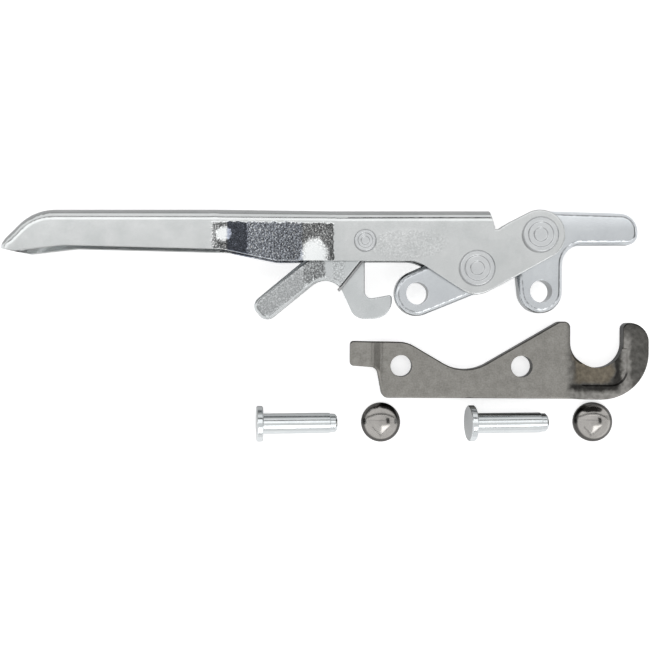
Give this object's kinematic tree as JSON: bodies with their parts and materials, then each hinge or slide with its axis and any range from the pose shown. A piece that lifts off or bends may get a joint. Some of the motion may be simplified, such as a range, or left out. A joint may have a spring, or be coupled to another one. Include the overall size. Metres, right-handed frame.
{
  "type": "over centre toggle latch",
  "caption": "Heavy zinc-plated over centre toggle latch with a folded lever, safety catch, clamp arm, hook plate, clevis pins and push-on caps.",
  "frame": {"origin": "centre of the clamp arm's free bore, on the latch's plane of symmetry", "axes": "+Z along every pivot, up from the face that the kit lies on; +X along the lever from its beak to the clamp arm; +Y from the free bores to the lever's web"},
  "size_m": [0.265, 0.0959, 0.026],
  "materials": {
    "zinc_sheet": "bright zinc plated folded sheet",
    "zinc_forging": "zinc plated, rolled edges",
    "zinc_rivet": "zinc plated, pressed head",
    "bright_zinc": "bright zinc, turned",
    "spring_wire": "spring steel",
    "raw_steel": "raw steel, mill finish, dark at the formed end",
    "cap_steel": "polished steel"
  },
  "bodies": {
    "lever": {"lever_handle": "zinc_sheet", "toggle_rivet": "zinc_rivet", "arm_rivet": "zinc_rivet", "catch_rivet": "zinc_rivet", "hook_plate": "raw_steel", "clevis_pin_1": "bright_zinc", "clevis_pin_2": "bright_zinc", "push_cap_1": "cap_steel", "push_cap_2": "cap_steel", "cap_washer_1": "spring_wire", "cap_washer_2": "spring_wire"},
    "toggle": {"toggle_link": "zinc_forging"},
    "arm": {"clamp_arm": "zinc_forging"},
    "catch": {"safety_catch": "zinc_sheet", "catch_spring": "spring_wire"}
  },
  "joints": [
    {"name": "toggle_swing", "type": "hinge", "parent": "lever", "child": "toggle", "pos_m": [-0.02653, 0.00925, 0], "axis": [0, 0, 1], "range_deg": [0, 95]},
    {"name": "arm_swing", "type": "hinge", "parent": "lever", "child": "arm", "pos_m": [-0.001, 0.02278, 0], "axis": [0, 0, 1], "range_deg": [0, 95]},
    {"name": "catch_squeeze", "type": "hinge", "parent": "lever", "child": "catch", "pos_m": [-0.07166, 0.02043, 0], "axis": [0, 0, 1], "range_deg": [-25, 0], "stiffness_Nm_per_rad": 0.08, "springref_deg": 20.05}
  ]
}
